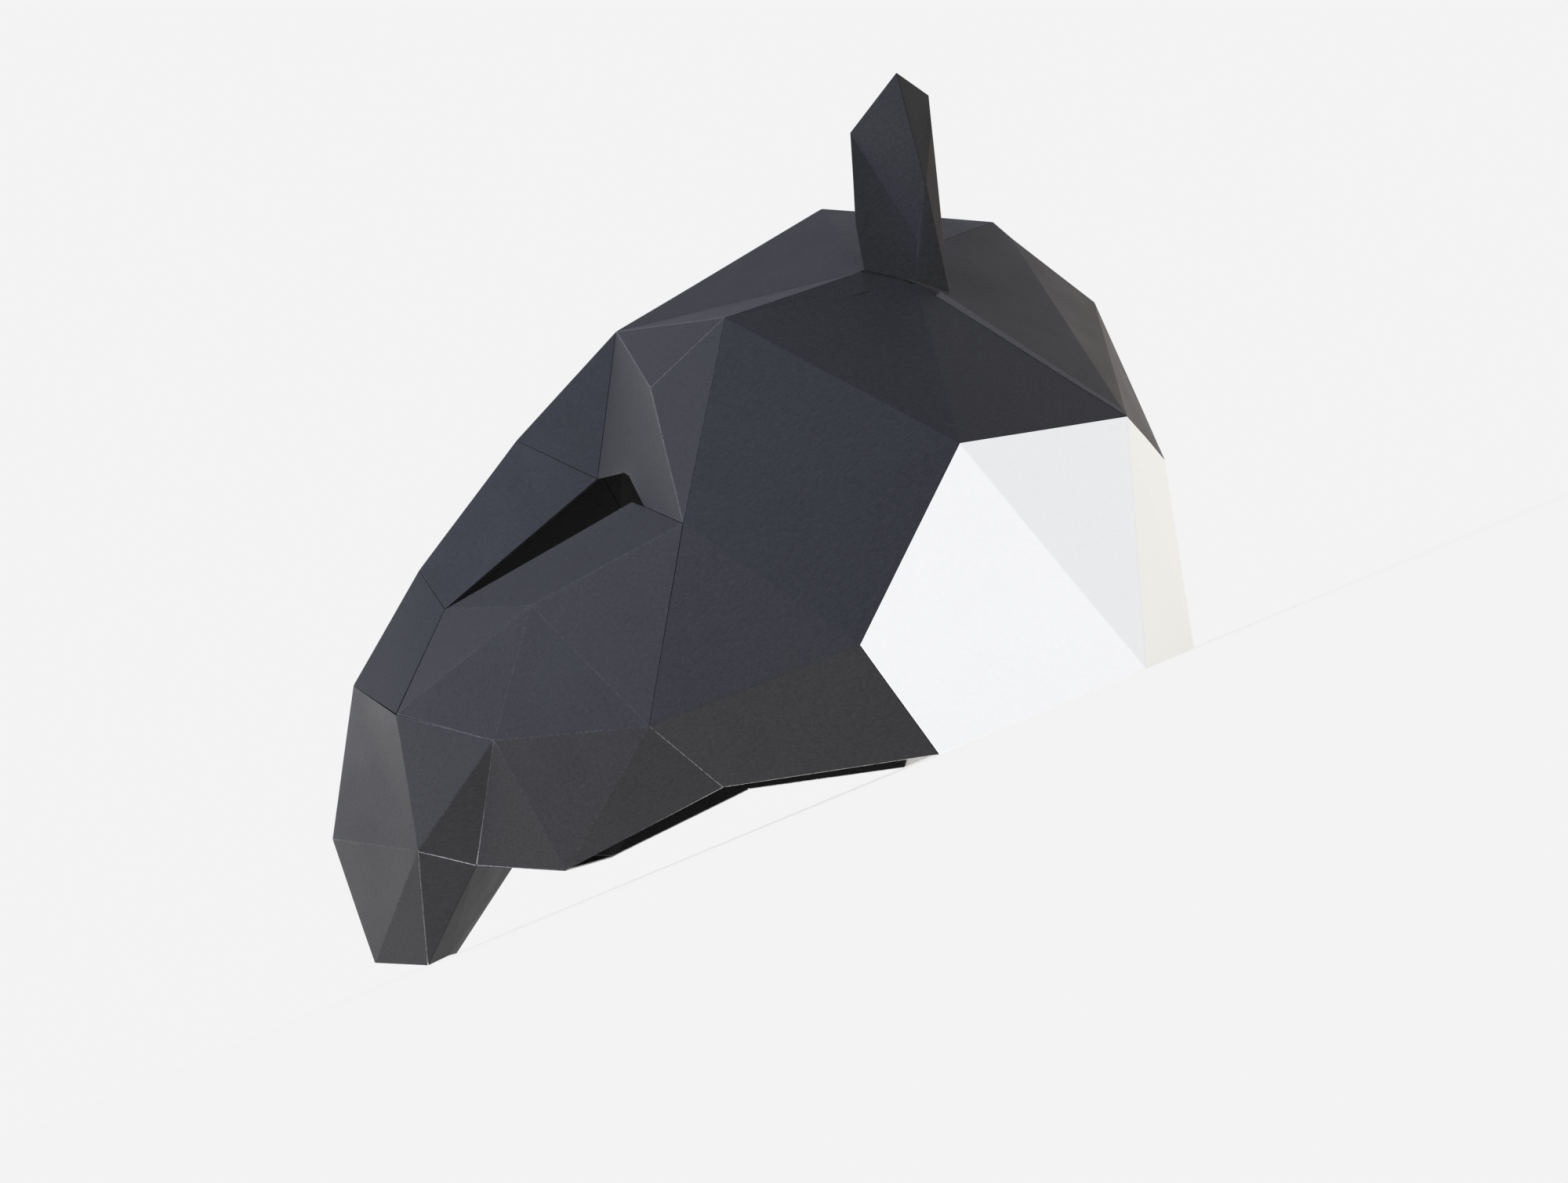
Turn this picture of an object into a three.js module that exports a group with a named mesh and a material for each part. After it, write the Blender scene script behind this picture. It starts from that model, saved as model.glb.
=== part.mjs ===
// Paper tapir mask: a full-head mask folded from black card, with a white card patch round the nape.
// Millimetres, +Z up. The mask looks along -Y, the wearer's left is +X, and it stands on z = 0
// on the cut edge of its white patch and on the tip of its trunk.
import * as THREE from 'three';

const CARD = 1; // thickness of the card
const SEAM = 0.6; // gap between two pieces at a seam
const EAR_LIFT = 0.5; // gap between an ear's foot and the crown below it
const EAR_INSET = 1.5; // how far the foot's corners stand in from the seams round them
const END_RECESS = 1.5; // depth of the trunk's end piece inside the trunk's mouth
const END_MARGIN = 1.1; // how far the end piece's corners stand in from the trunk's walls

// Colours and finish of the card.
const FINISH = {
  black: { color: 0x3e4044, roughness: 0.85, metalness: 0 },
  white: { color: 0xf4f4f1, roughness: 0.8, metalness: 0 },
  pale: { color: 0xdedcd8, roughness: 0.85, metalness: 0 },
};

// Where folds and seams meet, on the wearer's left:
// out from the middle plane, back from the mask's centre, up from the floor.
const FOLD_POINTS = {
  // The two edges of the narrow strip along the ridge of the nose
  trunk_toe: { out: 9, back: -209, up: 10 },
  trunk_bend: { out: 10, back: -208, up: 68 },
  snout_top: { out: 10, back: -176, up: 129 },
  nose_low: { out: 10, back: -130, up: 167 },
  nose_high: { out: 10, back: -67, up: 207 },
  brow_front: { out: 10, back: -5, up: 238 },
  // Middle plane, from the top of the head to the nape, and the rear of the trunk's mouth
  crest: { out: 0, back: 108, up: 260 },
  crown: { out: 0, back: 181, up: 222 },
  crown_step: { out: 0, back: 186, up: 211 },
  back_top: { out: 0, back: 209, up: 167 },
  nape: { out: 0, back: 208, up: 85 },
  trunk_heel: { out: 0, back: -180, up: 0.5 },
  // Brow and eye opening
  brow_side: { out: 62, back: 0, up: 190 },
  temple: { out: 84, back: 40, up: 199 },
  eye_inner: { out: 34, back: -37, up: 169 },
  eye_top: { out: 53, back: -23, up: 162 },
  eye_outer: { out: 79, back: -20, up: 138 },
  eye_lid: { out: 73, back: -25, up: 144 },
  slit_end: { out: 26, back: -122, up: 142 },
  // Side of the head
  ear_front: { out: 76, back: 101, up: 198 },
  ear_side: { out: 71, back: 121, up: 186 },
  temple_fold: { out: 80, back: 98, up: 188 },
  back_side: { out: 88, back: 174, up: 96 },
  cheek_high: { out: 128, back: 100, up: 104 },
  cheek_front: { out: 102, back: -8, up: 121 },
  cheek_low: { out: 129, back: 36, up: 48 },
  // Muzzle, jaw and trunk
  muzzle_top: { out: 66, back: -80, up: 121 },
  muzzle_side: { out: 62, back: -115, up: 75 },
  snout_side: { out: 35, back: -156, up: 105 },
  jaw_side: { out: 95, back: -50, up: 53 },
  mouth_corner: { out: 43, back: -144, up: 31 },
  trunk_side: { out: 43, back: -165, up: 46 },
  trunk_tip: { out: 24, back: -183, up: 0 },
  // Lower rim
  chin_rim: { out: 65, back: -106, up: 14 },
  jaw_rim: { out: 92, back: -32, up: 20 },
  rim_side: { out: 118, back: 48, up: 0 },
  rim_back: { out: 101, back: 136, up: 0 },
  rim_nape: { out: 29, back: 176, up: 0 },
};

// Points of the rim that stand on the floor, where the card is cut level.
const STANDING_RIM = ['rim_side', 'rim_back', 'rim_nape'];

// The ear's own fold points.
const EAR_POINTS = {
  front: { out: 71, back: 121, up: 259 },
  heel: { out: 73, back: 107, up: 219 },
  tip: { out: 87, back: 146, up: 269 },
  rear: { out: 74, back: 158, up: 260 },
  rear_low: { out: 75, back: 154, up: 248 },
  waist: { out: 79, back: 140, up: 222 },
  fold: { out: 72, back: 129, up: 203 },
};

// Corners of the ear's foot, each placed on the crown by its shares of the corners there.
const EAR_FOOT = {
  foot_front: { ear_front: 1 },
  foot_side: { ear_side: 1 },
  foot_rear: { ear_side: 0.8, back_side: 0.13, crown: 0.07 },
};

// The facet of the crown that an ear stands on.
const EAR_GROUND = ['crown', 'ear_front', 'ear_side', 'back_side', 'crown_step'];

// Facets of each piece, anticlockwise from outside. A star marks a point of the wearer's right.
// A pair is made once for each side. The other pieces run across the middle plane:
// their side facets are repeated on the right, and their middle facets are made once.
const PIECES = [
  {
    name: 'forehead',
    card: 'black',
    sides: ['brow_front ear_front crest', 'crest ear_front crown'],
    middle: ['brow_front crest brow_front*'],
  },
  {
    name: 'crown_back',
    card: 'black',
    sides: [
      'crown ear_front ear_side back_side crown_step',
      'crown_step back_side back_top',
      'back_top back_side nape',
    ],
    middle: [],
  },
  {
    name: 'brow',
    card: 'black',
    pair: true,
    sides: [
      'brow_front temple ear_front',
      'brow_front brow_side temple',
      'brow_front eye_inner eye_top brow_side',
      'brow_side eye_top eye_outer cheek_front',
      'brow_side cheek_front temple',
    ],
  },
  {
    name: 'nose_upper',
    card: 'black',
    sides: ['brow_front nose_high eye_inner'],
    middle: ['brow_front brow_front* nose_high* nose_high'],
  },
  {
    name: 'nose_bridge',
    card: 'black',
    sides: ['nose_high nose_low slit_end eye_inner'],
    middle: ['nose_high nose_high* nose_low* nose_low'],
  },
  {
    name: 'nose_lower',
    card: 'black',
    sides: ['nose_low snout_top snout_side slit_end'],
    middle: ['nose_low nose_low* snout_top* snout_top'],
  },
  {
    name: 'trunk_front',
    card: 'black',
    sides: [
      'trunk_bend trunk_side snout_side snout_top',
      'trunk_bend trunk_toe trunk_side',
      'trunk_toe trunk_tip trunk_side',
      'snout_side trunk_side muzzle_side',
      'muzzle_side trunk_side mouth_corner',
    ],
    middle: ['snout_top snout_top* trunk_bend* trunk_bend', 'trunk_bend trunk_bend* trunk_toe* trunk_toe'],
  },
  {
    name: 'trunk_back',
    card: 'black',
    sides: ['trunk_side trunk_tip mouth_corner', 'trunk_tip trunk_heel mouth_corner'],
    middle: ['mouth_corner trunk_heel mouth_corner*'],
  },
  {
    name: 'chin',
    card: 'black',
    sides: [],
    middle: ['mouth_corner mouth_corner* chin_rim* chin_rim'],
  },
  {
    name: 'muzzle',
    card: 'black',
    pair: true,
    sides: [
      'slit_end muzzle_top cheek_front eye_outer eye_lid',
      'slit_end snout_side muzzle_top',
      'snout_side muzzle_side muzzle_top',
      'cheek_front muzzle_top jaw_side',
      'muzzle_top muzzle_side jaw_side',
      'muzzle_side chin_rim jaw_side',
      'muzzle_side mouth_corner chin_rim',
      'jaw_side chin_rim jaw_rim',
    ],
  },
  {
    name: 'side',
    card: 'black',
    pair: true,
    sides: [
      'temple temple_fold ear_front',
      'ear_front temple_fold ear_side',
      'temple_fold temple cheek_high ear_side',
      'ear_side cheek_high back_side',
      'temple cheek_front cheek_high',
      'cheek_front cheek_low cheek_high',
      'cheek_front jaw_side cheek_low',
      'jaw_side jaw_rim rim_side cheek_low',
    ],
  },
  {
    name: 'neck_patch',
    card: 'white',
    sides: [
      'cheek_high cheek_low rim_side rim_back',
      'cheek_high rim_back back_side',
      'back_side rim_back rim_nape',
      'back_side rim_nape nape',
    ],
    middle: ['nape rim_nape rim_nape*'],
  },
];

// Facets of an ear, which is one folded sheet.
const EAR_FACETS = [
  'front fold waist tip',
  'front heel foot_side fold',
  'heel foot_front foot_side',
  'tip waist rear_low rear',
  'rear_low waist foot_rear',
  'foot_rear waist fold foot_side',
];

// Corners of the trunk's mouth, in order.
const TRUNK_MOUTH = ['trunk_toe', 'trunk_tip', 'trunk_heel', 'trunk_tip*', 'trunk_toe*'];

const UP = new THREE.Vector3(0, 0, 1);

function place({ out, back, up }) {
  return new THREE.Vector3(out, back, up);
}

function mirrored(point) {
  return new THREE.Vector3(-point.x, point.y, point.z);
}

function middleOf(list) {
  return list.reduce((sum, point) => sum.add(point), new THREE.Vector3()).divideScalar(list.length);
}

// All fold points by name, with a starred copy on the wearer's right of each one off the middle plane.
function bothSides(table) {
  const points = new Map();
  for (const [name, row] of Object.entries(table)) {
    points.set(name, place(row));
    if (row.out > 0) points.set(`${name}*`, mirrored(place(row)));
  }
  return points;
}

function corners(facet) {
  return facet.split(' ');
}

// The corners in the opposite order, from the same first corner.
function turnedRound([first, ...others]) {
  return [first, ...others.reverse()];
}

// The same facet on the other side of the middle plane.
function mirroredFacet(names, points) {
  return turnedRound(names.map((name) => (points.has(`${name}*`) ? `${name}*` : name)));
}

// Unit normal of a facet, from the sum of its edges' cross products, so a slightly bent facet has one too.
function facetNormal(names, points) {
  const normal = new THREE.Vector3();
  names.forEach((name, i) => {
    const next = names[(i + 1) % names.length];
    normal.add(new THREE.Vector3().crossVectors(points.get(name), points.get(next)));
  });
  return normal.normalize();
}

// The move that best meets a list of wishes, each a direction, a distance along it and a weight.
function bestMove(wishes) {
  const STEADY = 1e-4; // keeps the move short in directions that no wish names
  const sum = [STEADY, 0, 0, 0, STEADY, 0, 0, 0, STEADY];
  const pull = new THREE.Vector3();
  for (const { along, distance, weight } of wishes) {
    const part = along.toArray();
    for (let row = 0; row < 3; row += 1) {
      for (let column = 0; column < 3; column += 1) sum[3 * row + column] += weight * part[row] * part[column];
    }
    pull.addScaledVector(along, weight * distance);
  }
  return pull.applyMatrix3(new THREE.Matrix3(...sum).invert());
}

// How far each point of a shell moves from the outer face of the card to its inner face.
// level gives the points whose cut edge is flat, with the direction that the cut faces.
function inwardMoves(facets, points, level) {
  const FIRM = 100; // weight that keeps a level cut level
  const wishes = new Map();
  for (const names of facets) {
    const along = facetNormal(names, points);
    for (const name of names) {
      if (!wishes.has(name)) wishes.set(name, []);
      wishes.get(name).push({ along, distance: -CARD, weight: 1 });
    }
  }
  const moves = new Map();
  for (const [name, list] of wishes) {
    const cut = level.get(name);
    if (cut) list.push({ along: cut, distance: 0, weight: FIRM });
    const move = bestMove(list);
    if (cut) move.addScaledVector(cut, -move.dot(cut));
    moves.set(name, move);
  }
  return moves;
}

// The edges of a list of facets, each as it runs round its facet.
function edges(facets) {
  return facets.flatMap((names) => names.map((from, i) => ({
    from,
    to: names[(i + 1) % names.length],
    names,
  })));
}

function edgeKey(from, to) {
  return `${from} ${to}`;
}

// The border of a piece, with each edge marked as a seam or as a free edge of the whole shell.
function borderOf(facets, shellFacets) {
  const own = new Set(edges(facets).map(({ from, to }) => edgeKey(from, to)));
  const all = new Set(edges(shellFacets).map(({ from, to }) => edgeKey(from, to)));
  return edges(facets)
    .filter(({ from, to }) => !own.has(edgeKey(to, from)))
    .map((edge) => ({ ...edge, seam: all.has(edgeKey(edge.to, edge.from)) }));
}

// Moves of a piece's border points that leave half a seam's gap along each seam, within the piece's facets.
function seamMoves(facets, border, points) {
  const IN_FACET = 3; // weight that keeps a point in the planes of its facets
  const wishes = new Map(border.flatMap(({ from, to }) => [[from, []], [to, []]]));
  for (const names of facets) {
    const along = facetNormal(names, points);
    for (const name of names) wishes.get(name)?.push({ along, distance: 0, weight: IN_FACET });
  }
  for (const { from, to, names, seam } of border) {
    const edge = points.get(to).clone().sub(points.get(from)).normalize();
    const along = new THREE.Vector3().crossVectors(facetNormal(names, points), edge);
    for (const name of [from, to]) wishes.get(name).push({ along, distance: seam ? SEAM / 2 : 0, weight: 1 });
  }
  return new Map([...wishes].map(([name, list]) => [name, bestMove(list)]));
}

// A closed sheet of card: an outer and an inner face for each facet, and a cut wall along the border.
function cardGeometry(facets, shellFacets, points, inward) {
  const border = borderOf(facets, shellFacets);
  const seams = seamMoves(facets, border, points);
  const names = [...new Set(facets.flat())];
  const positions = [];
  const outer = new Map();
  const inner = new Map();
  names.forEach((name, i) => {
    const top = points.get(name).clone().add(seams.get(name) ?? new THREE.Vector3());
    positions.push(...top.toArray(), ...top.clone().add(inward.get(name)).toArray());
    outer.set(name, 2 * i);
    inner.set(name, 2 * i + 1);
  });
  const triangles = [];
  for (const facet of facets) {
    for (let i = 1; i + 1 < facet.length; i += 1) {
      const fan = [facet[0], facet[i], facet[i + 1]];
      triangles.push(...fan.map((name) => outer.get(name)));
      triangles.push(...fan.reverse().map((name) => inner.get(name)));
    }
  }
  for (const { from, to } of border) {
    triangles.push(outer.get(to), outer.get(from), inner.get(from));
    triangles.push(outer.get(to), inner.get(from), inner.get(to));
  }
  const geometry = new THREE.BufferGeometry();
  geometry.setAttribute('position', new THREE.Float32BufferAttribute(positions, 3));
  geometry.setIndex(triangles);
  geometry.computeVertexNormals();
  return geometry;
}

function cardMesh(name, card, geometry) {
  const mesh = new THREE.Mesh(geometry, new THREE.MeshStandardMaterial(FINISH[card]));
  mesh.name = name;
  return mesh;
}

// The facets of every sheet of the head, by node name.
function headSheets(points) {
  const sheets = [];
  for (const { name, card, pair, sides, middle } of PIECES) {
    const left = sides.map(corners);
    const right = left.map((names) => mirroredFacet(names, points));
    if (pair) {
      sheets.push({ name: `${name}_left`, card, facets: left });
      sheets.push({ name: `${name}_right`, card, facets: right });
    } else {
      sheets.push({ name, card, facets: [...left, ...right, ...middle.map(corners)] });
    }
  }
  return sheets;
}

// The ear's points on the wearer's left, with its foot in from the seams and lifted off the crown.
function earPoints(head) {
  const points = new Map(Object.entries(EAR_POINTS).map(([name, row]) => [name, place(row)]));
  const away = facetNormal(EAR_GROUND, head);
  for (const [name, shares] of Object.entries(EAR_FOOT)) {
    const corner = new THREE.Vector3();
    for (const [part, share] of Object.entries(shares)) corner.addScaledVector(head.get(part), share);
    const toCrown = head.get('crown').clone().sub(corner).normalize();
    points.set(name, corner.addScaledVector(toCrown, EAR_INSET).addScaledVector(away, EAR_LIFT));
  }
  return { points, away };
}

function makeEars(head) {
  const { points, away } = earPoints(head);
  const facets = EAR_FACETS.map(corners);
  const level = new Map(Object.keys(EAR_FOOT).map((name) => [name, away]));
  const left = cardGeometry(facets, facets, points, inwardMoves(facets, points, level));

  const otherPoints = new Map([...points].map(([name, point]) => [name, mirrored(point)]));
  const otherFacets = facets.map(turnedRound);
  const otherLevel = new Map(Object.keys(EAR_FOOT).map((name) => [name, mirrored(away)]));
  const right = cardGeometry(
    otherFacets,
    otherFacets,
    otherPoints,
    inwardMoves(otherFacets, otherPoints, otherLevel),
  );
  return [cardMesh('ear_left', 'black', left), cardMesh('ear_right', 'black', right)];
}

// The flat piece that closes the trunk, set a little inside the trunk's mouth.
function makeTrunkEnd(points, inward) {
  const mouth = TRUNK_MOUTH.map((name) => points.get(name).clone().add(inward.get(name)));
  const centre = middleOf(mouth);
  const outline = new Map(mouth.map((corner, i) => [TRUNK_MOUTH[i], corner]));
  const facing = facetNormal(TRUNK_MOUTH, outline).negate();
  for (const corner of mouth) {
    const toCentre = centre.clone().sub(corner);
    corner.addScaledVector(toCentre.normalize(), END_MARGIN);
    corner.addScaledVector(facing, centre.clone().sub(corner).dot(facing) - END_RECESS);
  }
  const inwardMove = new Map(TRUNK_MOUTH.map((name) => [name, facing.clone().multiplyScalar(-CARD)]));
  const facet = turnedRound(TRUNK_MOUTH);
  const geometry = cardGeometry([facet], [facet], outline, inwardMove);
  return cardMesh('trunk_end', 'pale', geometry);
}

const points = bothSides(FOLD_POINTS);
const sheets = headSheets(points);
const shell = sheets.flatMap(({ facets }) => facets);
const level = new Map(STANDING_RIM.flatMap((name) => [[name, UP], [`${name}*`, UP]]));
const inward = inwardMoves(shell, points, level);

const mask = new THREE.Group();
mask.name = 'paper_tapir_mask';
for (const { name, card, facets } of sheets) {
  mask.add(cardMesh(name, card, cardGeometry(facets, shell, points, inward)));
}
mask.add(makeTrunkEnd(points, inward), ...makeEars(points));

export default mask;
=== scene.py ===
"""The finish of the paper tapir mask: folded sheets of card, their seams, tabs and cut edges."""

import math
from dataclasses import dataclass

import bpy
from mathutils import Matrix, Vector


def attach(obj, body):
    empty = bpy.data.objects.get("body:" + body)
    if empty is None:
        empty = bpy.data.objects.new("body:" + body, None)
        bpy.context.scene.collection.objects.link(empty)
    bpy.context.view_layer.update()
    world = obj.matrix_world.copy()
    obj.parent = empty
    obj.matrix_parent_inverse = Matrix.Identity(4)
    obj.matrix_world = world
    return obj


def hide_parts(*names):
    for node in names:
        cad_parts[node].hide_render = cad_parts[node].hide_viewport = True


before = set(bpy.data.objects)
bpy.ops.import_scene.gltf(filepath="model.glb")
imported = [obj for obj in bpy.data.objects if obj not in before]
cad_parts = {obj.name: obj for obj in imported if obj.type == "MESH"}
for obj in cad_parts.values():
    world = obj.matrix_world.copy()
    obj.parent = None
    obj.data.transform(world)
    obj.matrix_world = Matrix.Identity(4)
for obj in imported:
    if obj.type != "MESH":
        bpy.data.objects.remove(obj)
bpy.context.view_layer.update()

MM = 0.001

# Camera: from where and how far it looks, and how it is rolled
CAMERA_AZIMUTH = math.radians(88.4)
CAMERA_ELEVATION = math.radians(-8.15)
CAMERA_ROLL = math.radians(22.5)
CAMERA_DISTANCE = 660 * MM
CAMERA_TARGET = Vector((0, 21.3, 95.5)) * MM
CAMERA_LENS = 32.85
CAMERA_SENSOR = 36

# Studio: the pale ground, its size in metres, and lamps by where they stand round the mask
GROUND_TONE = 0.896
GROUND_SIZE = 60
GROUND_GLOW = 0.84
SKY_LIGHT = (0.68, 0.70, 0.79)
LAMPS = (
    # name, azimuth and elevation in degrees, power, colour, softness in degrees
    ("front", -20, 13, 2.45, (1.0, 0.99, 0.95), 45),
    ("window", 40, 45, 2.25, (0.60, 0.66, 1.0), 40),
    ("rear", 210, 12, 0.50, (1.0, 0.82, 0.60), 40),
    ("under", 5, -35, 2.20, (1.0, 0.88, 0.88), 40),
)

# Grain of the card: scales of its noise, how specks, fibres and clouds add up, and the relief's depth
GRAIN_SCALE = 1100
CLOUD_SCALE = 38
FIBRE_STRETCH = (1, 0.25, 1)
SPECK_SHARE = 0.6
FIBRE_SHARE = 0.4
GRAIN_SHADE = 1.6
CLOUD_SHADE = 0.4
CLOUD_RANGE = (0.3, 0.7)
GRAIN_RELIEF = 0.05 * MM

# Kinds of card surface. From one shade of grain to the other in wear, the dark tone turns light.
PLAIN_WEAR = (0.75, 1.25)
SURFACES = (
    # name, dark tone, light tone, roughness, specular level, bump, wear
    ("black_card", (0.0105, 0.0105, 0.0110), (0.0215, 0.0215, 0.0220), (0.52, 0.62), 0.22, 0.5, PLAIN_WEAR),
    ("black_card_fold", (0.013, 0.013, 0.0135), (0.037, 0.037, 0.0378), (0.5, 0.6), 0.22, 0.4, (0.9, 1.25)),
    ("black_card_rubbed_fold", (0.022, 0.022, 0.0225), (0.080, 0.080, 0.0815),
     (0.5, 0.6), 0.22, 0.4, (0.8, 1.25)),
    ("black_card_cut_edge", (0.010, 0.010, 0.010), (0.02, 0.02, 0.02), (0.75, 0.9), 0.1, 0.5, PLAIN_WEAR),
    ("black_card_scuffed_edge", (0.14, 0.137, 0.133), (0.60, 0.59, 0.57),
     (0.75, 0.9), 0.2, 0.5, (0.75, 1.2)),
    # The lips' card: bare card, lighter and warmer than the black card, partly painted light that stands in
    # for the light the lips catch
    ("black_card_bare_and_lit", (0.050, 0.0485, 0.0455), (0.074, 0.072, 0.068), (0.6, 0.75), 0.2, 0.5, PLAIN_WEAR),
    ("white_card", (0.936, 0.929, 0.866), (0.966, 0.959, 0.896), (0.6, 0.7), 0.3, 0.25, PLAIN_WEAR),
    ("white_card_fold", (0.911, 0.904, 0.842), (0.951, 0.944, 0.882), (0.6, 0.7), 0.3, 0.3, PLAIN_WEAR),
    ("white_card_cut_edge", (0.62, 0.61, 0.59), (0.8, 0.79, 0.77), (0.8, 0.9), 0.2, 0.4, PLAIN_WEAR),
    ("pale_card", (0.60, 0.58, 0.57), (0.70, 0.68, 0.67), (0.65, 0.75), 0.3, 0.3, PLAIN_WEAR),
)

# Slots of each sheet's materials, and the surfaces that fill them in each finish
FACE, FOLD, CUT, SCUFF, BARE_AND_LIT = range(5)
BLACK_EDGES = ("black_card_cut_edge", "black_card_scuffed_edge", "black_card_bare_and_lit")
WHITE_EDGES = ("white_card_cut_edge", "white_card_cut_edge")
FINISHES = {
    "black_card": ("black_card", "black_card", *BLACK_EDGES),
    "worn_black_card": ("black_card", "black_card_fold", *BLACK_EDGES),
    "rubbed_black_card": ("black_card", "black_card_rubbed_fold", *BLACK_EDGES),
    "white_card": ("white_card", "white_card_fold", *WHITE_EDGES, "white_card"),
    "pale_card": ("pale_card", "pale_card", *WHITE_EDGES, "pale_card"),
}

# The sheets that aren't of black card, and those whose folds have been worn pale, a little or more
LIGHT_SHEETS = {"neck_patch": "white_card", "trunk_end": "pale_card"}
WORN_SHEETS = {"muzzle": "worn", "trunk_front": "worn", "brow": "rubbed"}

# Card: how it folds, is cut, meets at its seams and sags
FOLD_RADIUS = 0.4 * MM
CUT_SHARE = 0.4
FOLD_SEGMENTS = 2
MERGE = 0.02 * MM
FLAT_ANGLE = math.radians(1.5)
WALL_HEIGHT = 2.5 * MM
SMOOTH_ANGLE = math.radians(50)
NORMAL_WEIGHT = 100
SUBDIVISIONS = 3
SAG_SIZE = 0.11
SAG = 0.7 * MM
SAG_FREE_HEIGHT = 25 * MM
SEAM_REACH = 3.2 * MM
SEAM_CLOSING = 0.6
STRIP_LENGTH = 1 * MM

# The sheets that meet no others at a seam
SEAMLESS_SHEETS = ("ear", "trunk_end")

# What the ears stand on, how near to it a corner of an ear's foot is, and how near the foot is set down
EAR_GROUND = ("forehead", "crown_back", "side_left", "side_right")
FOOT_REACH = 2.5 * MM
FOOT_GAP = 0.15 * MM

# Glue tabs behind the seams, and the most that they take of a facet's depth and of a seam's length
TAB_LEAF = 9 * MM
TAB_FLANGE = 3 * MM
TAB_INSET = 0.3 * MM
TAB_THICKNESS = 0.4 * MM
TAB_GAP = 0.25 * MM
TAB_REACH = 0.8 * MM
TAB_DEPTH_SHARE = 0.6
TAB_LENGTH_SHARE = 0.8

# The lip of bare card that covers the seam behind each ear, its card painted lighter and warmer to stand in
# for the light it catches: shares of the seam, and sizes at its two ends
LIP_SPAN = (0.10, 0.99)
LIP_WIDTH = (3.2 * MM, 1.4 * MM)
LIP_CREST = (1.1 * MM, 0.45 * MM)
LIP_FOOT = 0.06 * MM
LIP_OVERLAP = 0.65 * MM
LIP_THICKNESS = 0.2 * MM

# Seams where pale cut edges show, by the two sheets and the greatest height of the seam's middle
SCUFFED_SEAMS = (
    # one sheet, the other sheet, height in millimetres
    ("muzzle", "side", 45),
    ("muzzle", "trunk_front", 300),
    ("trunk_front", "trunk_back", 300),
    ("chin", "muzzle", 300),
)

# Sheets whose free edges show pale, and the corners, in millimetres, where seams have come a little open
SCUFFED_SHEETS = ("muzzle", "side", "chin")
OPEN_CORNERS = ((35, -156, 105), (43, -165, 46), (24, -183, 0), (92, -32, 20))

# Points in the hollow of the mask, from the neck to the trunk, in millimetres
HOLLOW = tuple(MM * Vector(point) for point in (
    (0, 100, 60), (0, 70, 130), (0, -20, 120), (0, -100, 90), (0, -185, 50),
))

# Bent facets: the corners of a sheet, in millimetres on the wearer's left, that no fold joins
BENT_FACETS = (
    # sheet, one corner, the other corner
    ("crown_back", (0, 181, 222), (71, 121, 186)),
    ("crown_back", (0, 181, 222), (88, 174, 96)),
    ("brow", (10, -5, 238), (53, -23, 162)),
    ("brow", (62, 0, 190), (79, -20, 138)),
    ("nose_bridge", (10, -67, 207), (26, -122, 142)),
    ("nose_lower", (10, -130, 167), (35, -156, 105)),
    ("trunk_front", (10, -208, 68), (35, -156, 105)),
    ("muzzle", (26, -122, 142), (102, -8, 121)),
    ("muzzle", (26, -122, 142), (79, -20, 138)),
    ("side", (80, 98, 188), (128, 100, 104)),
    ("ear", (71, 121, 259), (70, 122, 187)),
    ("ear", (71, 121, 259), (79, 140, 222)),
    ("ear", (87, 146, 269), (75, 154, 248)),
    ("ear", (67, 133, 178), (72, 129, 203)),
)
CORNER_REACH = 4 * MM


def direction(azimuth, elevation):
    """Unit vector towards a place round the mask, azimuth 0 in front of it and 90 on the wearer's left."""
    return Vector((
        math.sin(azimuth) * math.cos(elevation),
        -math.cos(azimuth) * math.cos(elevation),
        math.sin(elevation),
    ))


def make_camera():
    """The camera, low on the wearer's left and rolled."""
    data = bpy.data.cameras.new("camera")
    data.lens = CAMERA_LENS
    data.sensor_width = CAMERA_SENSOR
    data.clip_start = 1 * MM
    data.clip_end = 2 * GROUND_SIZE
    camera = bpy.data.objects.new("camera", data)
    bpy.context.scene.collection.objects.link(camera)
    back = direction(CAMERA_AZIMUTH, CAMERA_ELEVATION)
    upright = back.to_track_quat("Z", "Y").to_matrix()
    turn = upright @ Matrix.Rotation(-CAMERA_ROLL, 3, "Z")
    camera.matrix_world = Matrix.Translation(CAMERA_TARGET + back * CAMERA_DISTANCE) @ turn.to_4x4()
    bpy.context.scene.camera = camera


def ground_share(towards, softness):
    """How much of a soft lamp's light falls on the ground, over the part of its disc above the horizon."""
    RINGS, SPOKES = 12, 24
    turn = towards.to_track_quat("Z", "Y").to_matrix()
    total = weight = 0
    for ring in range(RINGS):
        lean = softness / 2 * (ring + 0.5) / RINGS
        for spoke in range(SPOKES):
            round_disc = 2 * math.pi * spoke / SPOKES
            ray = turn @ Vector((
                math.sin(lean) * math.cos(round_disc),
                math.sin(lean) * math.sin(round_disc),
                math.cos(lean),
            ))
            total += math.sin(lean) * max(0, ray.z)
            weight += math.sin(lean) * math.cos(lean)
    return total / weight


def make_lamps():
    """Soft lamps far off. Returns the light that they and the sky throw on the ground."""
    on_ground = Vector(SKY_LIGHT)
    for name, azimuth, elevation, power, colour, softness in LAMPS:
        data = bpy.data.lights.new(name, "SUN")
        data.energy = power
        data.color = colour
        data.angle = math.radians(softness)
        lamp = bpy.data.objects.new(name, data)
        bpy.context.scene.collection.objects.link(lamp)
        towards = direction(math.radians(azimuth), math.radians(elevation))
        lamp.matrix_world = towards.to_track_quat("Z", "Y").to_matrix().to_4x4()
        on_ground += Vector(colour) * (power * ground_share(towards, data.angle) / math.pi)
    return on_ground


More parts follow.
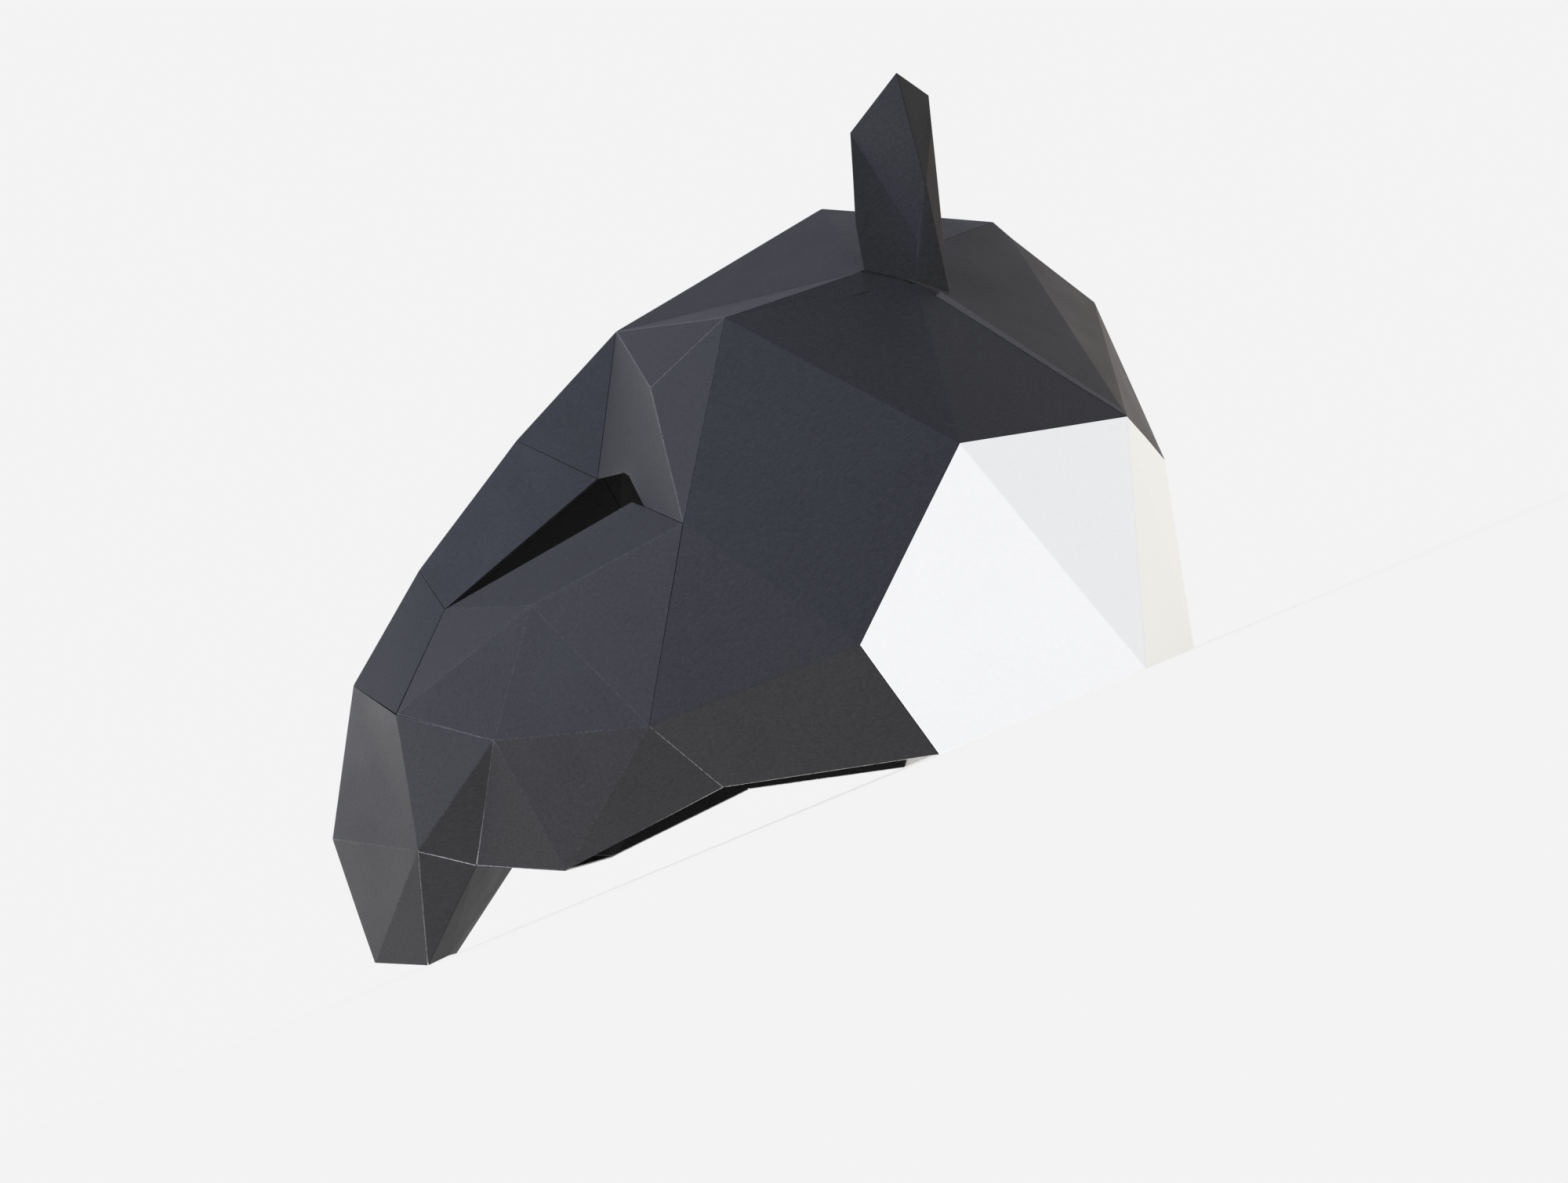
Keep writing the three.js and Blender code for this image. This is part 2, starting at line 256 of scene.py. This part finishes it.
def make_sky():
    """A sky that lights softly from all round, and is seen as the same pale tone as the ground."""
    world = bpy.data.worlds.new("studio")
    bpy.context.scene.world = world
    world.use_nodes = True
    tree = world.node_tree
    tree.nodes.clear()
    output = tree.nodes.new("ShaderNodeOutputWorld")
    light = tree.nodes.new("ShaderNodeBackground")
    light.inputs["Color"].default_value = (*SKY_LIGHT, 1)
    seen = tree.nodes.new("ShaderNodeBackground")
    seen.inputs["Color"].default_value = (GROUND_TONE, GROUND_TONE, GROUND_TONE, 1)
    mix = tree.nodes.new("ShaderNodeMixShader")
    path = tree.nodes.new("ShaderNodeLightPath")
    tree.links.new(path.outputs["Is Camera Ray"], mix.inputs["Fac"])
    tree.links.new(light.outputs["Background"], mix.inputs[1])
    tree.links.new(seen.outputs["Background"], mix.inputs[2])
    tree.links.new(mix.outputs["Shader"], output.inputs["Surface"])


def make_ground(on_ground):
    """A pale floor in one tone with the sky: its paint makes up for the lamps' colours, it glows,
    and the lamp under it shines through, as through a light table."""
    deselect()
    bpy.ops.mesh.primitive_plane_add(size=GROUND_SIZE)
    ground = bpy.context.object
    ground.name = "ground"
    paint = bpy.data.materials.new("ground_paint")
    paint.use_nodes = True
    shader = paint.node_tree.nodes["Principled BSDF"]
    painted = GROUND_TONE * (1 - GROUND_GLOW)
    glow = GROUND_TONE * GROUND_GLOW
    shader.inputs["Base Color"].default_value = (*[painted / light for light in on_ground], 1)
    shader.inputs["Emission Color"].default_value = (glow, glow, glow, 1)
    shader.inputs["Emission Strength"].default_value = 1
    shader.inputs["Roughness"].default_value = 1
    shader.inputs["Specular IOR Level"].default_value = 0
    ground.data.materials.append(paint)
    ground.visible_shadow = False


def deselect():
    """Leaves edit mode, with nothing selected."""
    if bpy.context.object and bpy.context.object.mode != "OBJECT":
        bpy.ops.object.mode_set(mode="OBJECT")
    bpy.ops.object.select_all(action="DESELECT")


def work_on(piece):
    """Makes one piece the only one that is selected."""
    deselect()
    piece.select_set(True)
    bpy.context.view_layer.objects.active = piece


def apply_modifier(piece, kind, **settings):
    """Adds a modifier to a piece and applies it."""
    work_on(piece)
    modifier = piece.modifiers.new(kind.lower(), kind)
    for name, value in settings.items():
        setattr(modifier, name, value)
    bpy.ops.object.modifier_apply(modifier=modifier.name)


def noise_node(nodes, detail, roughness):
    noise = nodes.new("ShaderNodeTexNoise")
    noise.inputs["Detail"].default_value = detail
    noise.inputs["Roughness"].default_value = roughness
    return noise


def share_node(nodes, operation, share):
    """A node that multiplies its first input by a share, and can add its third."""
    maths = nodes.new("ShaderNodeMath")
    maths.operation = operation
    maths.inputs[1].default_value = share
    return maths


def card_grain():
    """Shader group: the specks, fibres and clouds of uncoated card."""
    group = bpy.data.node_groups.new("card_grain", "ShaderNodeTree")
    for name, value in (("Grain Scale", GRAIN_SCALE), ("Cloud Scale", CLOUD_SCALE)):
        scale = group.interface.new_socket(name, in_out="INPUT", socket_type="NodeSocketFloat")
        scale.default_value = value
    for name in ("Shade", "Cloud", "Height"):
        group.interface.new_socket(name, in_out="OUTPUT", socket_type="NodeSocketFloat")
    nodes, links = group.nodes, group.links
    given = nodes.new("NodeGroupInput")
    result = nodes.new("NodeGroupOutput")
    place = nodes.new("ShaderNodeTexCoord")
    along = nodes.new("ShaderNodeMapping")
    along.inputs["Scale"].default_value = FIBRE_STRETCH
    speck = noise_node(nodes, 3, 0.65)
    fibre = noise_node(nodes, 2, 0.5)
    cloud = noise_node(nodes, 4, 0.55)
    links.new(place.outputs["Object"], speck.inputs["Vector"])
    links.new(place.outputs["Object"], along.inputs["Vector"])
    links.new(along.outputs["Vector"], fibre.inputs["Vector"])
    links.new(place.outputs["Object"], cloud.inputs["Vector"])
    links.new(given.outputs["Grain Scale"], speck.inputs["Scale"])
    links.new(given.outputs["Grain Scale"], fibre.inputs["Scale"])
    links.new(given.outputs["Cloud Scale"], cloud.inputs["Scale"])
    strand = share_node(nodes, "MULTIPLY", FIBRE_SHARE)
    both = share_node(nodes, "MULTIPLY_ADD", SPECK_SHARE)
    links.new(fibre.outputs["Fac"], strand.inputs[0])
    links.new(speck.outputs["Fac"], both.inputs[0])
    links.new(strand.outputs["Value"], both.inputs[2])
    drift = share_node(nodes, "MULTIPLY", CLOUD_SHADE)
    shade = share_node(nodes, "MULTIPLY_ADD", GRAIN_SHADE)
    links.new(cloud.outputs["Fac"], drift.inputs[0])
    links.new(both.outputs["Value"], shade.inputs[0])
    links.new(drift.outputs["Value"], shade.inputs[2])
    links.new(shade.outputs["Value"], result.inputs["Shade"])
    links.new(cloud.outputs["Fac"], result.inputs["Cloud"])
    links.new(both.outputs["Value"], result.inputs["Height"])
    return group


def card_material(grain, name, dark, light, roughness, specular, bump, wear):
    """Card with fibres between a dark and a light tone, and a roughness that drifts in soft clouds."""
    material = bpy.data.materials.new(name)
    material.use_nodes = True
    nodes, links = material.node_tree.nodes, material.node_tree.links
    shader = nodes["Principled BSDF"]
    shader.inputs["Specular IOR Level"].default_value = specular
    fibres = nodes.new("ShaderNodeGroup")
    fibres.node_tree = grain
    tone = nodes.new("ShaderNodeMapRange")
    tone.inputs["From Min"].default_value = wear[0]
    tone.inputs["From Max"].default_value = wear[1]
    links.new(fibres.outputs["Shade"], tone.inputs["Value"])
    colour = nodes.new("ShaderNodeMix")
    colour.data_type = "RGBA"
    colour.inputs["A"].default_value = (*dark, 1)
    colour.inputs["B"].default_value = (*light, 1)
    links.new(tone.outputs["Result"], colour.inputs["Factor"])
    links.new(colour.outputs["Result"], shader.inputs["Base Color"])
    polish = nodes.new("ShaderNodeMapRange")
    polish.inputs["From Min"].default_value = CLOUD_RANGE[0]
    polish.inputs["From Max"].default_value = CLOUD_RANGE[1]
    polish.inputs["To Min"].default_value = roughness[0]
    polish.inputs["To Max"].default_value = roughness[1]
    links.new(fibres.outputs["Cloud"], polish.inputs["Value"])
    links.new(polish.outputs["Result"], shader.inputs["Roughness"])
    relief = nodes.new("ShaderNodeBump")
    relief.inputs["Strength"].default_value = bump
    relief.inputs["Distance"].default_value = GRAIN_RELIEF
    links.new(fibres.outputs["Height"], relief.inputs["Height"])
    links.new(relief.outputs["Normal"], shader.inputs["Normal"])
    return material


def make_finishes():
    """The materials of each finish, in the order of a sheet's slots."""
    grain = card_grain()
    made = {row[0]: card_material(grain, *row) for row in SURFACES}
    return {finish: [made[name] for name in names] for finish, names in FINISHES.items()}


def family(node):
    """A sheet's name without its side."""
    return node.removesuffix("_left").removesuffix("_right")


def slot_of(node):
    """The record's material slot of a node's card."""
    return LIGHT_SHEETS.get(node, "black_card")


def finish_of(node):
    """The finish of a node's card, which some black sheets have worn."""
    slot = slot_of(node)
    return f"{WORN_SHEETS[family(node)]}_{slot}" if family(node) in WORN_SHEETS else slot


def side_signs(node):
    """The sides of the middle plane that a sheet has, 1 on the wearer's left and -1 on the right."""
    if node.endswith("_left"):
        return (1,)
    if node.endswith("_right"):
        return (-1,)
    return (1, -1)


def blank_sheet(node, finish):
    """A sheet's own copy of its solid, merged, with one face for each flat or bent facet."""
    sheet = bpy.data.objects.new(f"{node}_card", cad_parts[node].data.copy())
    bpy.context.scene.collection.objects.link(sheet)
    sheet.data.materials.clear()
    for material in finish:
        sheet.data.materials.append(material)
    work_on(sheet)
    bpy.context.scene.tool_settings.mesh_select_mode = (False, True, False)
    bpy.ops.object.mode_set(mode="EDIT")
    bpy.ops.mesh.select_all(action="SELECT")
    bpy.ops.mesh.customdata_custom_splitnormals_clear()
    bpy.ops.mesh.remove_doubles(threshold=MERGE)
    bpy.ops.mesh.select_all(action="DESELECT")
    bpy.ops.object.mode_set(mode="OBJECT")
    mark_cut_walls(sheet.data)
    bent = bent_edges(node, sheet.data)
    for edge, faces in faces_beside(sheet.data):
        cut = any(is_wall(face) for face in faces)
        flat = faces[0].normal.angle(faces[1].normal) < FLAT_ANGLE
        edge.select = not cut and (flat or edge.index in bent)
    bpy.ops.object.mode_set(mode="EDIT")
    bpy.ops.mesh.dissolve_edges(use_verts=False)
    bpy.ops.object.mode_set(mode="OBJECT")
    return sheet


def faces_beside(mesh):
    """Each edge of a mesh with the two faces that it joins."""
    beside = {key: [] for key in mesh.edge_keys}
    for face in mesh.polygons:
        for key in face.edge_keys:
            beside[key].append(face)
    return [(edge, beside[edge.key]) for edge in mesh.edges]


def bent_edges(node, mesh):
    """The edges of a sheet's triangles that cross its bent facets."""
    found = set()
    for name, one, other in BENT_FACETS:
        if name != family(node):
            continue
        for sign in side_signs(node):
            ends = [Vector((sign * out, back, up)) * MM for out, back, up in (one, other)]
            near = [{v.index for v in mesh.vertices if (v.co - end).length < CORNER_REACH} for end in ends]
            for edge in mesh.edges:
                a, b = edge.vertices
                if (a in near[0] and b in near[1]) or (b in near[0] and a in near[1]):
                    found.add(edge.index)
    return found


def mark_cut_walls(mesh):
    """Gives the thin walls of a sheet the cut-edge slot."""
    for face in mesh.polygons:
        corners = [mesh.vertices[i].co for i in face.vertices]
        longest = max((a - b).length for a, b in zip(corners, corners[1:] + corners[:1]))
        face.material_index = CUT if 2 * face.area / longest < WALL_HEIGHT else FACE


def is_wall(face):
    """Whether a face is part of a cut edge, scuffed or not."""
    return face.material_index >= CUT


@dataclass
class Border:
    """One facet's side along its sheet's cut edge: where it runs, how its facet lies and what it meets."""
    node: str
    corners: tuple
    start: Vector
    end: Vector
    into: Vector
    facing: Vector
    depth: float
    spread: tuple
    inner: bool
    wall: int
    mate: "Border" = None


def looks_inside(middle, facing):
    """Whether a facet looks into the hollow of the mask."""
    nearest = min(HOLLOW, key=lambda point: (point - middle).length)
    return facing.dot(nearest - middle) > 0


def half_angle_run(corner, one, other):
    """How far along one side a line at unit distance from both sides of a corner begins."""
    return 1 / math.tan((one - corner).angle(other - corner) / 2)


def borders_of(node, mesh):
    """Every border of a sheet, outer and inner."""
    found = []
    for edge, faces in faces_beside(mesh):
        walls = [face for face in faces if is_wall(face)]
        if len(walls) != 1:
            continue
        facet = faces[0] if faces[1] is walls[0] else faces[1]
        loop = [mesh.vertices[i] for i in facet.vertices]
        sides = [{corner.index, loop[k - 1].index} for k, corner in enumerate(loop)]
        turn = sides.index(set(edge.vertices))
        corners = (loop[turn - 1].index, loop[turn].index)
        before, start, end, after = (loop[(turn + k) % len(loop)].co.copy() for k in (-2, -1, 0, 1))
        middle = sum((corner.co for corner in loop), Vector()) / len(loop)
        along = (end - start).normalized()
        across = middle - start
        across -= along * across.dot(along)
        facing = along.cross(across).normalized()
        found.append(Border(
            node, corners, start, end, across.normalized(), facing, across.length,
            (half_angle_run(start, end, before), half_angle_run(end, start, after)),
            looks_inside(middle, facing), walls[0].index,
        ))
    return found


def apart(one, other):
    """How far two borders that run against each other are from meeting."""
    return max((one.start - other.end).length, (one.end - other.start).length)


def find_mates(borders):
    """Joins each border of the shell to the border that it meets at a seam."""
    shell = [border for border in borders if family(border.node) not in SEAMLESS_SHEETS]
    for border in shell:
        others = [other for other in shell if other.node != border.node and other.inner == border.inner]
        nearest = min(others, key=lambda other: apart(border, other))
        if apart(border, nearest) < SEAM_REACH:
            border.mate = nearest


def is_open(corner):
    """Whether seams have come open at a corner, on either side of the mask."""
    left = Vector((abs(corner.x), corner.y, corner.z))
    return any((left - MM * Vector(place)).length < CORNER_REACH for place in OPEN_CORNERS)


def close_seams(mesh, borders):
    """Draws a sheet's corners most of the way to those that they meet, so that its seams are hairlines."""
    meets = {}
    for border in borders:
        if border.mate:
            for index, other in zip(border.corners, (border.mate.end, border.mate.start)):
                meets.setdefault(index, []).append(other)
    for index, others in meets.items():
        corner = mesh.vertices[index]
        if not is_open(corner.co):
            middle = sum(others, corner.co.copy()) / (len(others) + 1)
            corner.co = corner.co.lerp(middle, SEAM_CLOSING)


def seat_ear(ear):
    """Sets the foot of an ear down close to the shell that it stands on."""
    shell = [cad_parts[name] for name in EAR_GROUND]
    for corner in ear.vertices:
        hits = [sheet.closest_point_on_mesh(corner.co, distance=FOOT_REACH) for sheet in shell]
        below = [place for found, place, _, _ in hits if found]
        if below:
            nearest = min(below, key=lambda place: (corner.co - place).length)
            corner.co = nearest + (corner.co - nearest).normalized() * FOOT_GAP


def is_scuffed(border):
    """Whether a border's cut edge shows pale: it is free, or its seam is one of the scuffed ones."""
    if border.mate is None:
        return family(border.node) in SCUFFED_SHEETS
    sheets = {family(border.node), family(border.mate.node)}
    height = (border.start.z + border.end.z) / 2
    return any(sheets == {one, other} and height < limit * MM for one, other, limit in SCUFFED_SEAMS)


def share_rounding(mesh, borders):
    """Gives each fold and cut edge of a sheet its share of the rounding, and a worn free edge all of it."""
    worn = {border.wall for border in borders if border.mate is None and is_scuffed(border)}
    shares = mesh.attributes.new("bevel_weight_edge", "FLOAT", "EDGE")
    for edge, faces in faces_beside(mesh):
        walls = [face for face in faces if is_wall(face)]
        if len(walls) == 0:
            shares.data[edge.index].value = 1
        elif len(walls) == 1:
            shares.data[edge.index].value = 1 if walls[0].index in worn else CUT_SHARE


def spread_scuffs(mesh):
    """Carries the scuffs of cut edges on over their rounded corners."""
    reached = []
    for edge, faces in faces_beside(mesh):
        length = (mesh.vertices[edge.vertices[0]].co - mesh.vertices[edge.vertices[1]].co).length
        if length > STRIP_LENGTH and {face.material_index for face in faces} == {FOLD, SCUFF}:
            reached += faces
    for face in reached:
        face.material_index = SCUFF


def owns_tab(border):
    """Black sheets carry the tabs of their seams with other card, and otherwise the first by name does."""
    owner = min((border, border.mate), key=lambda side: (slot_of(side.node) != "black_card", side.node))
    return owner is border


def tab_row(border, width):
    """The two ends of a line behind a border's facet, kept off the facet's other sides."""
    length = (border.end - border.start).length
    width = min(width, TAB_DEPTH_SHARE * border.depth, TAB_LENGTH_SHARE * length / sum(border.spread))
    along = (border.end - border.start) / length
    lift = border.into * width + border.facing * TAB_GAP
    return (
        border.start + lift + along * (width * border.spread[0] + TAB_INSET),
        border.end + lift - along * (width * border.spread[1] + TAB_INSET),
    )


def seam_row(border, free):
    """The two ends of a line behind a border's seam, carried on past corners that no free edge reaches."""
    mate = border.mate
    lift = (border.facing + mate.facing) * (TAB_GAP / (1 + border.facing.dot(mate.facing)))
    ends = ((border.start + mate.end) / 2, (border.end + mate.start) / 2)
    along = (ends[1] - ends[0]).normalized()
    row = []
    for end, outward in zip(ends, (-along, along)):
        rim = any((end - corner).length < SEAM_REACH for corner in free)
        row.append(end + lift + outward * (0 if rim else TAB_REACH))
    return tuple(row)


def add_strips(sheet, strips, thickness, offset, slot):
    """Joins strips of thin card to a sheet. Each strip is a list of rows, and a row is its two ends."""
    corners = [corner for rows in strips for row in rows for corner in row]
    quads = []
    base = 0
    for rows in strips:
        for _ in rows[1:]:
            quads.append((base + 2, base + 3, base + 1, base))
            base += 2
        base += 2
    mesh = bpy.data.meshes.new("strips")
    mesh.from_pydata(corners, [], quads)
    mesh.materials.append(sheet.data.materials[slot])
    strip = bpy.data.objects.new("strips", mesh)
    bpy.context.scene.collection.objects.link(strip)
    apply_modifier(strip, "SOLIDIFY", thickness=thickness, offset=offset)
    work_on(sheet)
    strip.select_set(True)
    bpy.ops.object.join()


def add_tabs(sheet, borders, free):
    """Glue tabs that bridge a sheet's seams from inside, each a flange, the seam and a leaf."""
    strips = []
    for border in borders:
        if border.inner and border.mate and owns_tab(border):
            flange = tab_row(border, TAB_FLANGE)
            leaf = tab_row(border.mate, TAB_LEAF)[::-1]
            strips.append((flange, seam_row(border, free), leaf))
    if strips:
        add_strips(sheet, strips, TAB_THICKNESS, 1, FACE)


def add_lips(sheet, borders):
    """The raised lips along the seams behind the ears."""
    strips = []
    outer = [border for border in borders if border.mate and not border.inner]
    for sign in side_signs(sheet.name):
        near = [border for border in outer if border.start.x * sign > 0]
        seams = [border for border in near if family(border.mate.node) == "side"]
        seam = max(seams, key=lambda border: (border.end - border.start).length)
        high, low = sorted((seam.start, seam.end), key=lambda corner: -corner.z)
        ends = [high.lerp(low, share) for share in LIP_SPAN]
        foot = [end - seam.into * LIP_OVERLAP + seam.facing * LIP_FOOT for end in ends]
        crest = [
            end + seam.into * width + seam.facing * rise
            for end, width, rise in zip(ends, LIP_WIDTH, LIP_CREST)
        ]
        if (ends[1] - ends[0]).dot(seam.end - seam.start) < 0:
            foot.reverse()
            crest.reverse()
        strips.append((crest, foot))
    # The lips take the lighter bare card, whose tone is partly painted light
    add_strips(sheet, strips, LIP_THICKNESS, -1, BARE_AND_LIT)


def sag_field():
    """The slow waves of card that has been handled, one field for all sheets so that seams stay matched."""
    texture = bpy.data.textures.new("card_sag", "CLOUDS")
    texture.noise_scale = SAG_SIZE
    texture.noise_depth = 1
    texture.cloud_type = "COLOR"
    return texture


def hold_at_floor(sheet):
    """A vertex group that lets the card sag freely, but not where it stands on the floor."""
    free = sheet.vertex_groups.new(name="free")
    for vertex in sheet.data.vertices:
        free.add([vertex.index], min(1, max(0, vertex.co.z / SAG_FREE_HEIGHT)), "REPLACE")


def make_sheets(finishes):
    """Every sheet of card as it is cut and folded, with its scuffed edges marked."""
    sheets = {node: blank_sheet(node, finishes[finish_of(node)]) for node in sorted(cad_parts)}
    borders = {node: borders_of(node, sheet.data) for node, sheet in sheets.items()}
    find_mates([border for listed in borders.values() for border in listed])
    for node, sheet in sheets.items():
        for border in borders[node]:
            if is_scuffed(border):
                sheet.data.polygons[border.wall].material_index = SCUFF
        close_seams(sheet.data, borders[node])
        if family(node) == "ear":
            seat_ear(sheet.data)
    return sheets, borders


def free_corners(borders):
    """The corners of the shell where an edge that meets no other sheet begins or ends."""
    rims = [border for listed in borders.values() for border in listed if border.mate is None]
    rims = [border for border in rims if family(border.node) not in SEAMLESS_SHEETS]
    return [corner for border in rims for corner in (border.start, border.end)]


def finish_sheet(node, sheet, borders, free, sag):
    """Rounds a sheet's folds and edges, adds its tabs, lets it sag a little and hands it over."""
    share_rounding(sheet.data, borders)
    apply_modifier(sheet, "BEVEL", width=FOLD_RADIUS, segments=FOLD_SEGMENTS, limit_method="WEIGHT",
                   material=FOLD, use_clamp_overlap=False)
    spread_scuffs(sheet.data)
    add_tabs(sheet, borders, free)
    if node == "crown_back":
        add_lips(sheet, borders)
    apply_modifier(sheet, "SUBSURF", subdivision_type="SIMPLE",
                   levels=SUBDIVISIONS, render_levels=SUBDIVISIONS)
    hold_at_floor(sheet)
    apply_modifier(sheet, "DISPLACE", texture=sag, texture_coords="LOCAL", direction="RGB_TO_XYZ",
                   strength=SAG, mid_level=0.5, vertex_group="free")
    work_on(sheet)
    bpy.ops.object.shade_smooth_by_angle(angle=SMOOTH_ANGLE)
    apply_modifier(sheet, "WEIGHTED_NORMAL", keep_sharp=True, weight=NORMAL_WEIGHT)
    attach(sheet, "root")
    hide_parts(node)


make_camera()
make_sky()
make_ground(make_lamps())
bpy.context.scene.view_settings.view_transform = "Standard"

card_sheets, card_borders = make_sheets(make_finishes())
card_rims = free_corners(card_borders)
card_sag = sag_field()
for node_name, card_sheet in card_sheets.items():
    finish_sheet(node_name, card_sheet, card_borders[node_name], card_rims, card_sag)
